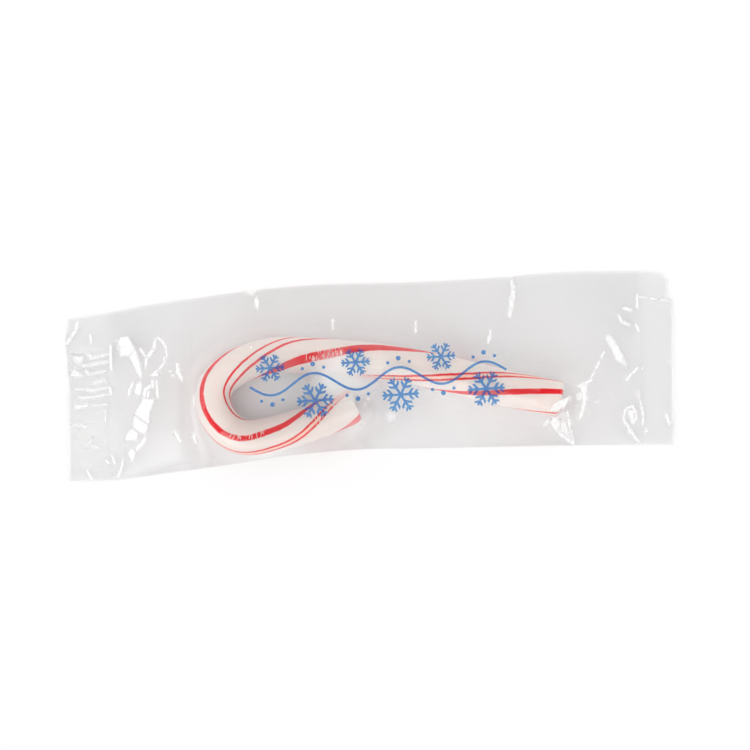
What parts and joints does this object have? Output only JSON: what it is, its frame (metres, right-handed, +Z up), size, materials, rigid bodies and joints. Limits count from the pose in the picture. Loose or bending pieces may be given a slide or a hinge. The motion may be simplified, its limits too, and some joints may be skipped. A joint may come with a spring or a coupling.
{
  "type": "wrapped candy cane",
  "caption": "Small hooked stick of red-striped candy sealed in a clear film wrapper with crimped ends, lying flat on its underside.",
  "frame": {"origin": "on the flat underside, at the middle of the bounding box", "axes": "+X along the wrapper from the hook end to the straight end, +Y across it away from the short arm's side, +Z up from the flat underside"},
  "size_m": [0.1084, 0.0323, 0.0066],
  "materials": {
    "clear_film": "clear glossy polypropylene film, creased, with crimped welds at the ends",
    "striped_candy": "pulled boiled sugar, warm white with red stripes, satin gloss",
    "blue_ink": "thin translucent blue print on film"
  },
  "bodies": {
    "root": {"sealed_wrapper": "clear_film"}
  },
  "joints": []
}
